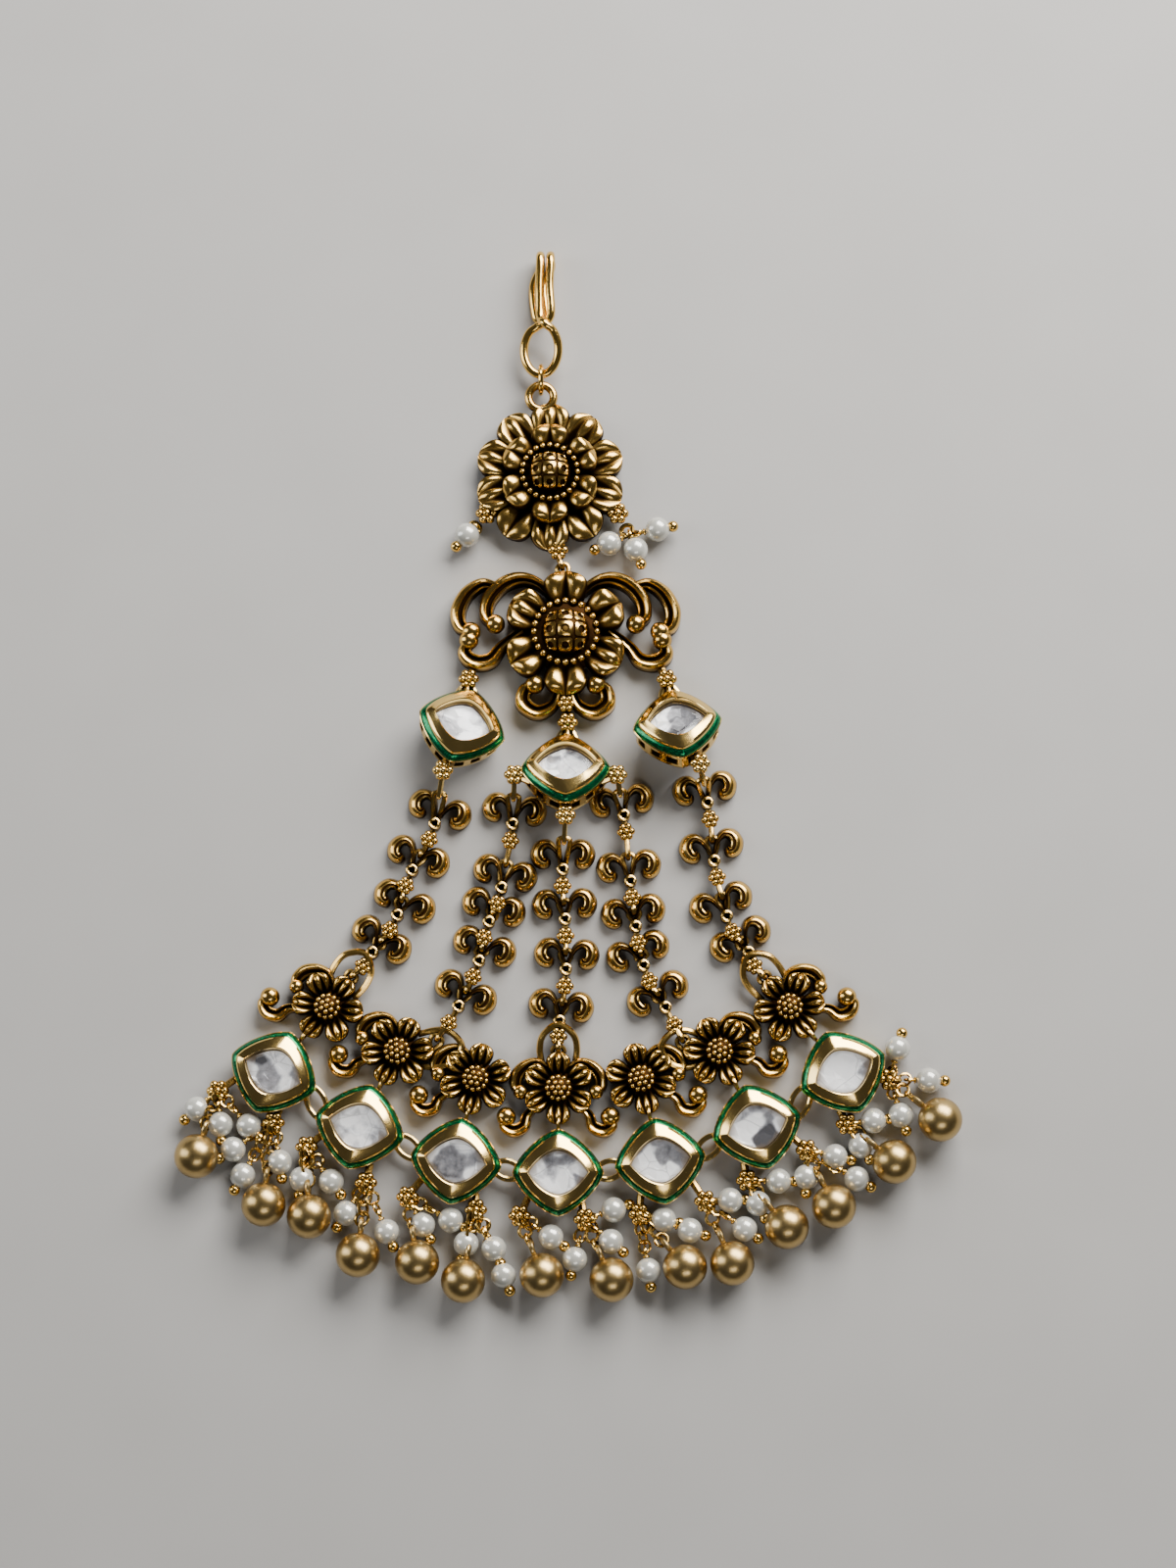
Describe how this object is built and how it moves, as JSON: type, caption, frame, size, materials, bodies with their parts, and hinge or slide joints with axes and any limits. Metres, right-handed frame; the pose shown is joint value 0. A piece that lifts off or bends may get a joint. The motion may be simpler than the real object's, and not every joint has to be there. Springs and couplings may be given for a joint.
{
  "type": "passa side head ornament",
  "caption": "Fan-shaped side head ornament with a wire hook, cast gold flowers, set clear stones, linked chains and a fringe of balls and pearls.",
  "frame": {"origin": "middle of the ornament as it lies, on the surface under it", "axes": "+Z out of the ornament's front, +Y towards the hook, +X to the wearer's view right of the fan"},
  "size_m": [0.0924, 0.127, 0.008],
  "materials": {
    "bright_gold": "polished gold-plated wire",
    "old_gold": "antique gold plate with dark patina in the recesses",
    "setting_gold": "gold plate with a burnished bezel",
    "satin_gold": "satin old gold",
    "clear_stone": "clear cut stone over silver foil",
    "green_enamel": "translucent emerald enamel",
    "pearl": "soft pearl lustre"
  },
  "bodies": {
    "root": {"hook": "bright_gold", "jump_ring": "bright_gold", "upper_flower": "old_gold", "scroll_plaque": "old_gold", "pearls_left": "pearl", "pearls_right": "pearl", "setting_left": "setting_gold", "setting_centre": "setting_gold", "setting_right": "setting_gold", "setting_1": "setting_gold", "setting_2": "setting_gold", "setting_3": "setting_gold", "setting_4": "setting_gold", "setting_5": "setting_gold", "setting_6": "setting_gold", "setting_7": "setting_gold", "stone_left": "clear_stone", "stone_centre": "clear_stone", "stone_right": "clear_stone", "stone_1": "clear_stone", "stone_2": "clear_stone", "stone_3": "clear_stone", "stone_4": "clear_stone", "stone_5": "clear_stone", "stone_6": "clear_stone", "stone_7": "clear_stone", "chain_a": "old_gold", "chain_b": "old_gold", "chain_c": "old_gold", "chain_d": "old_gold", "chain_e": "old_gold", "motif_1": "old_gold", "motif_2": "old_gold", "motif_3": "old_gold", "motif_4": "old_gold", "motif_5": "old_gold", "motif_6": "old_gold", "motif_7": "old_gold", "drop_1": "satin_gold", "drop_2": "satin_gold", "drop_3": "satin_gold", "drop_4": "satin_gold", "drop_5": "satin_gold", "drop_6": "satin_gold", "drop_7": "satin_gold", "drop_8": "satin_gold", "drop_9": "satin_gold", "drop_10": "satin_gold", "drop_11": "satin_gold", "drop_12": "satin_gold", "drop_13": "satin_gold", "drop_14": "satin_gold"}
  },
  "joints": []
}
